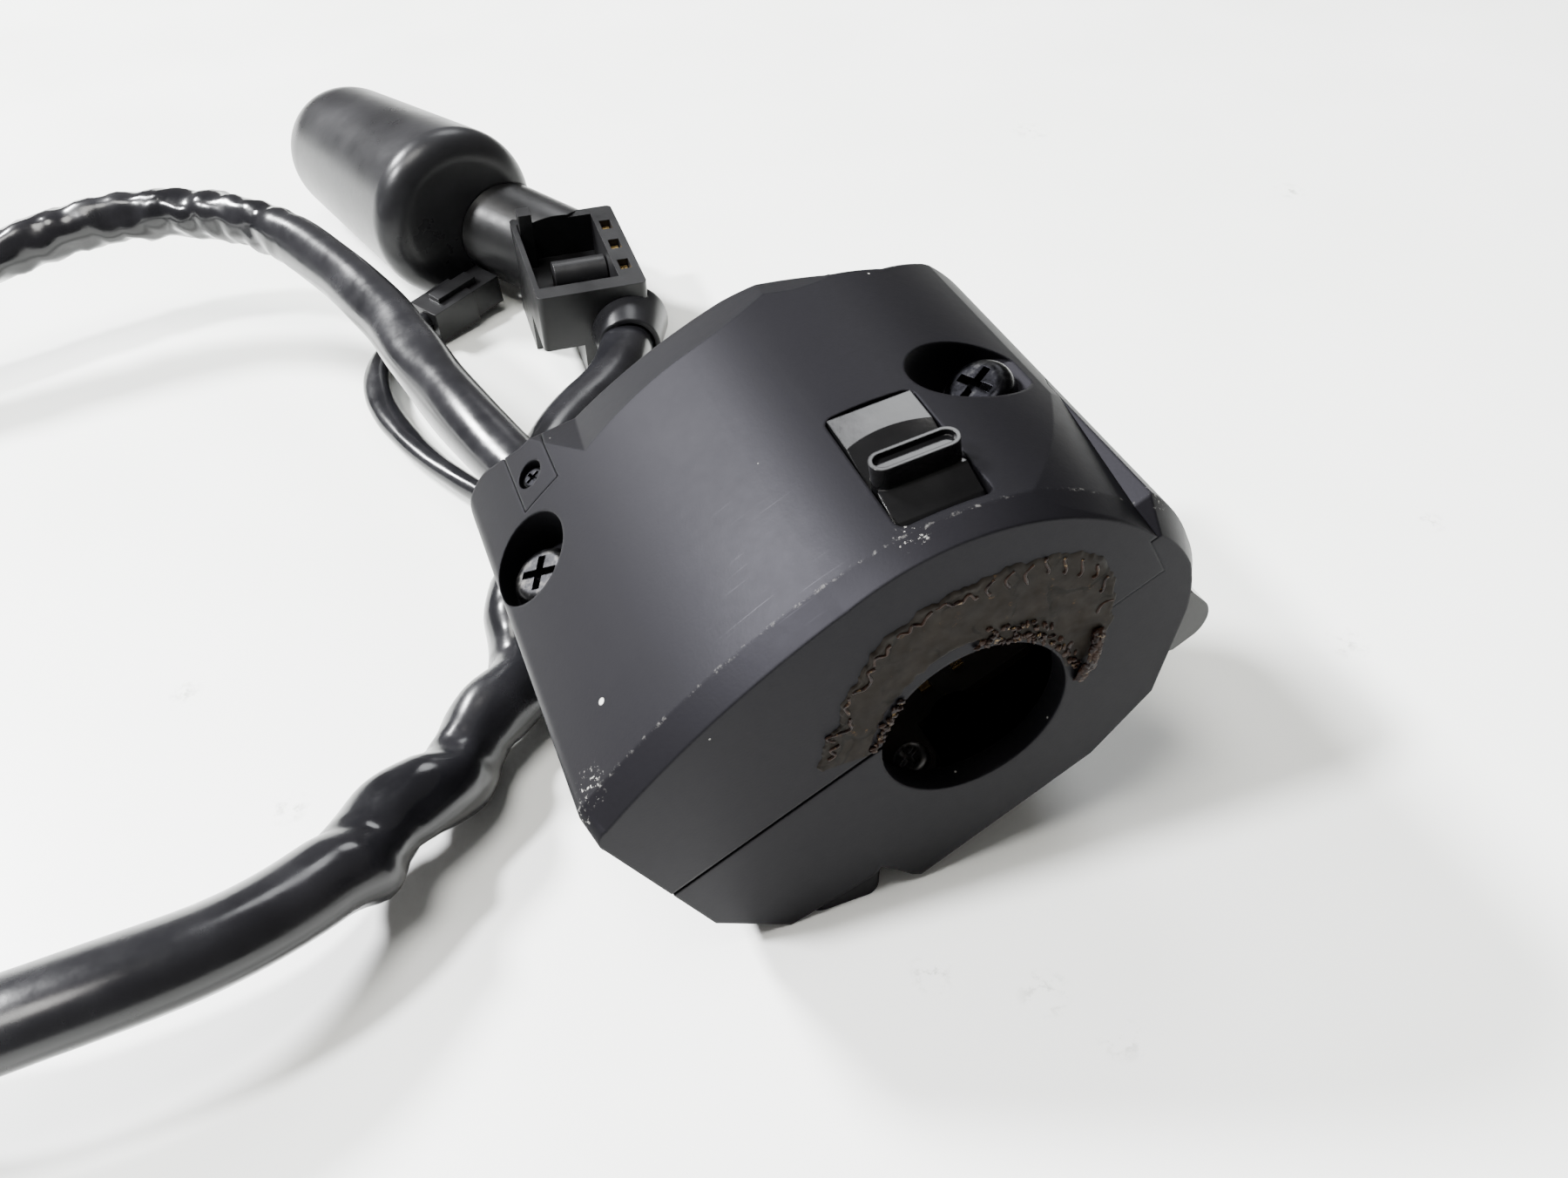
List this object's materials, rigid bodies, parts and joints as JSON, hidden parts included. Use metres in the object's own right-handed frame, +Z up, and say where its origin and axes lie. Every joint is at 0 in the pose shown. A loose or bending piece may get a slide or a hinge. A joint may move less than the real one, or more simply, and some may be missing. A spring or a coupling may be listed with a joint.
{
  "type": "handlebar switch",
  "caption": "Left-hand handlebar clamp switch with a flash rocker, turn, dimmer and horn controls, a sleeved harness and a booted connector.",
  "frame": {"origin": "centre of the bar bore on the outer end face of the housing", "axes": "+Y inward along the bar, +Z up from the surface the switch lies on, +X across the bar"},
  "size_m": [0.2179, 0.2131, 0.0586],
  "materials": {
    "case_plastic": "satin black glass-filled nylon, worn on the edges",
    "knob_plastic": "glossy",
    "carrier_plastic": "matt",
    "connector_plastic": "matt",
    "sleeve_vinyl": "satin",
    "soft_rubber": "satin",
    "steel": "plain",
    "bright_steel": "worn",
    "dark_steel": "dark",
    "brass": "plain"
  },
  "bodies": {
    "housing": {"front_case": "case_plastic", "rear_case": "case_plastic", "corner_plate": "case_plastic", "pass_pin": "steel", "case_screw_low": "bright_steel", "case_screw_high": "dark_steel", "corner_screw": "dark_steel", "carrier_screw_1": "steel", "carrier_screw_2": "steel", "locating_peg": "bright_steel", "pass_spring": "steel", "horn_spring": "steel", "pass_contact": "carrier_plastic", "turn_carrier": "carrier_plastic", "dimmer_retainer": "carrier_plastic", "horn_contact": "carrier_plastic", "pass_terminals": "brass", "turn_contacts": "brass", "dimmer_contacts": "brass", "insert_low": "brass", "insert_high": "brass", "terminal_1": "brass", "terminal_2": "brass", "terminal_3": "brass", "grommet": "soft_rubber", "wire_seal": "soft_rubber", "connector_boot": "soft_rubber", "harness_sleeve": "sleeve_vinyl", "clutch_lead": "sleeve_vinyl", "connector_body": "connector_plastic", "connector_latch": "connector_plastic", "clutch_connector": "connector_plastic"},
    "rocker": {"pass_rocker": "knob_plastic"},
    "turn": {"turn_knob": "knob_plastic"},
    "dimmer": {"dimmer_knob": "knob_plastic"},
    "horn": {"horn_button": "knob_plastic"}
  },
  "joints": [
    {"name": "pass_rock", "type": "hinge", "parent": "housing", "child": "rocker", "pos_m": [-0.00301, 0.0155, 0.02302], "axis": [0.989, 0, 0.1478], "range_deg": [0, 8], "stiffness_Nm_per_rad": 0.05, "springref_deg": -3.44, "deforming": ["pass_spring"]},
    {"name": "turn_slide", "type": "slide", "parent": "housing", "child": "turn", "axis": [0, 1, 0], "range_m": [-0.0045, 0.0045]},
    {"name": "dimmer_slide", "type": "slide", "parent": "housing", "child": "dimmer", "axis": [0, 1, 0], "range_m": [0, 0.005]},
    {"name": "horn_press", "type": "slide", "parent": "housing", "child": "horn", "axis": [0, 0, 1], "range_m": [0, 0.0012], "stiffness_N_per_m": 400, "springref_m": -0.002, "deforming": ["horn_spring"]}
  ]
}
